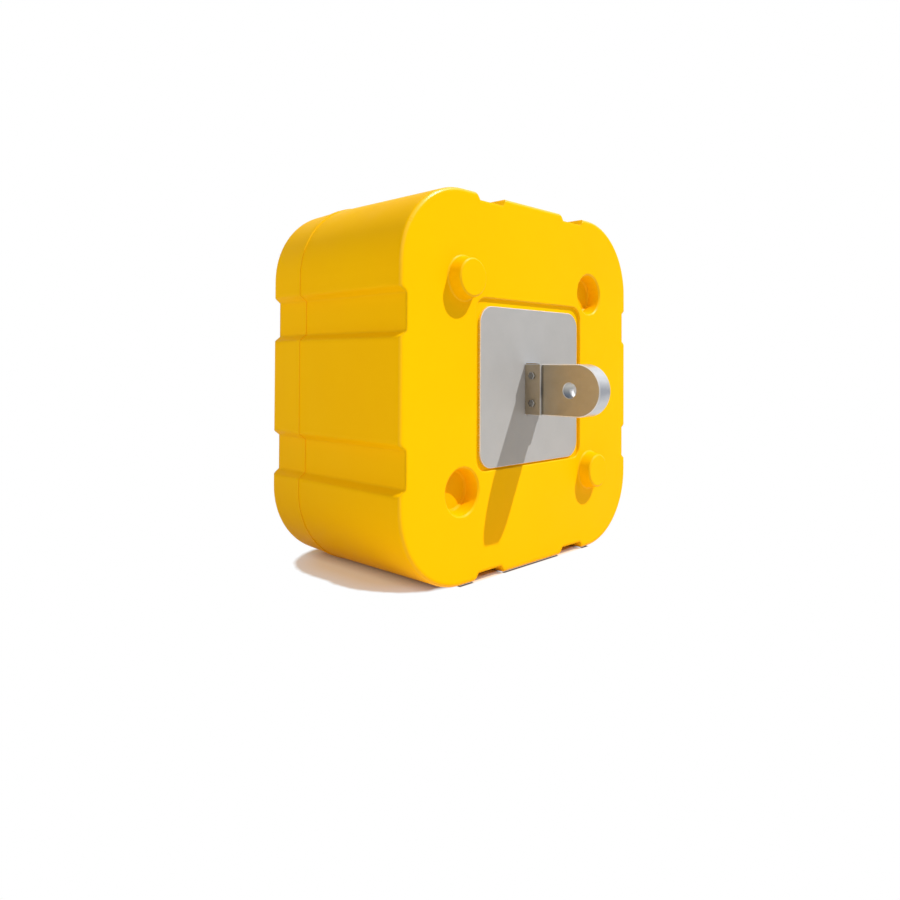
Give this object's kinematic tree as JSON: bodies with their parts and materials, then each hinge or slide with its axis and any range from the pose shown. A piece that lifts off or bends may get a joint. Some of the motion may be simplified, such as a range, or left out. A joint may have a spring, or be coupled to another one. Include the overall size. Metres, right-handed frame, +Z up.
{
  "type": "modular mooring buoy",
  "caption": "Square foam-filled plastic mooring float with strap grooves, coupling pegs and sockets, and a flat steel tension bar through it that ends in an eye at each face.",
  "frame": {"origin": "centre of the bounding box at its base, on the floor the float stands on", "axes": "+Z up, +X across the float and along the eyes' holes, front face towards -Y and back face towards +Y"},
  "size_m": [1.004, 1, 1.004],
  "materials": {
    "float": "satin moulded polyethylene, yellow",
    "plate": "matt rolled stainless sheet",
    "bar": "satin machined steel",
    "keeper": "satin machined steel",
    "fastener": "bright zinc"
  },
  "bodies": {
    "root": {"float_body": "float", "end_plate_front": "plate", "end_plate_back": "plate", "tension_bar": "bar", "keeper_front_left": "keeper", "keeper_front_right": "keeper", "bolt_front_lower": "fastener", "nut_front_lower": "fastener", "bolt_front_upper": "fastener", "nut_front_upper": "fastener", "keeper_back_left": "keeper", "keeper_back_right": "keeper", "bolt_back_lower": "fastener", "nut_back_lower": "fastener", "bolt_back_upper": "fastener", "nut_back_upper": "fastener"}
  },
  "joints": []
}
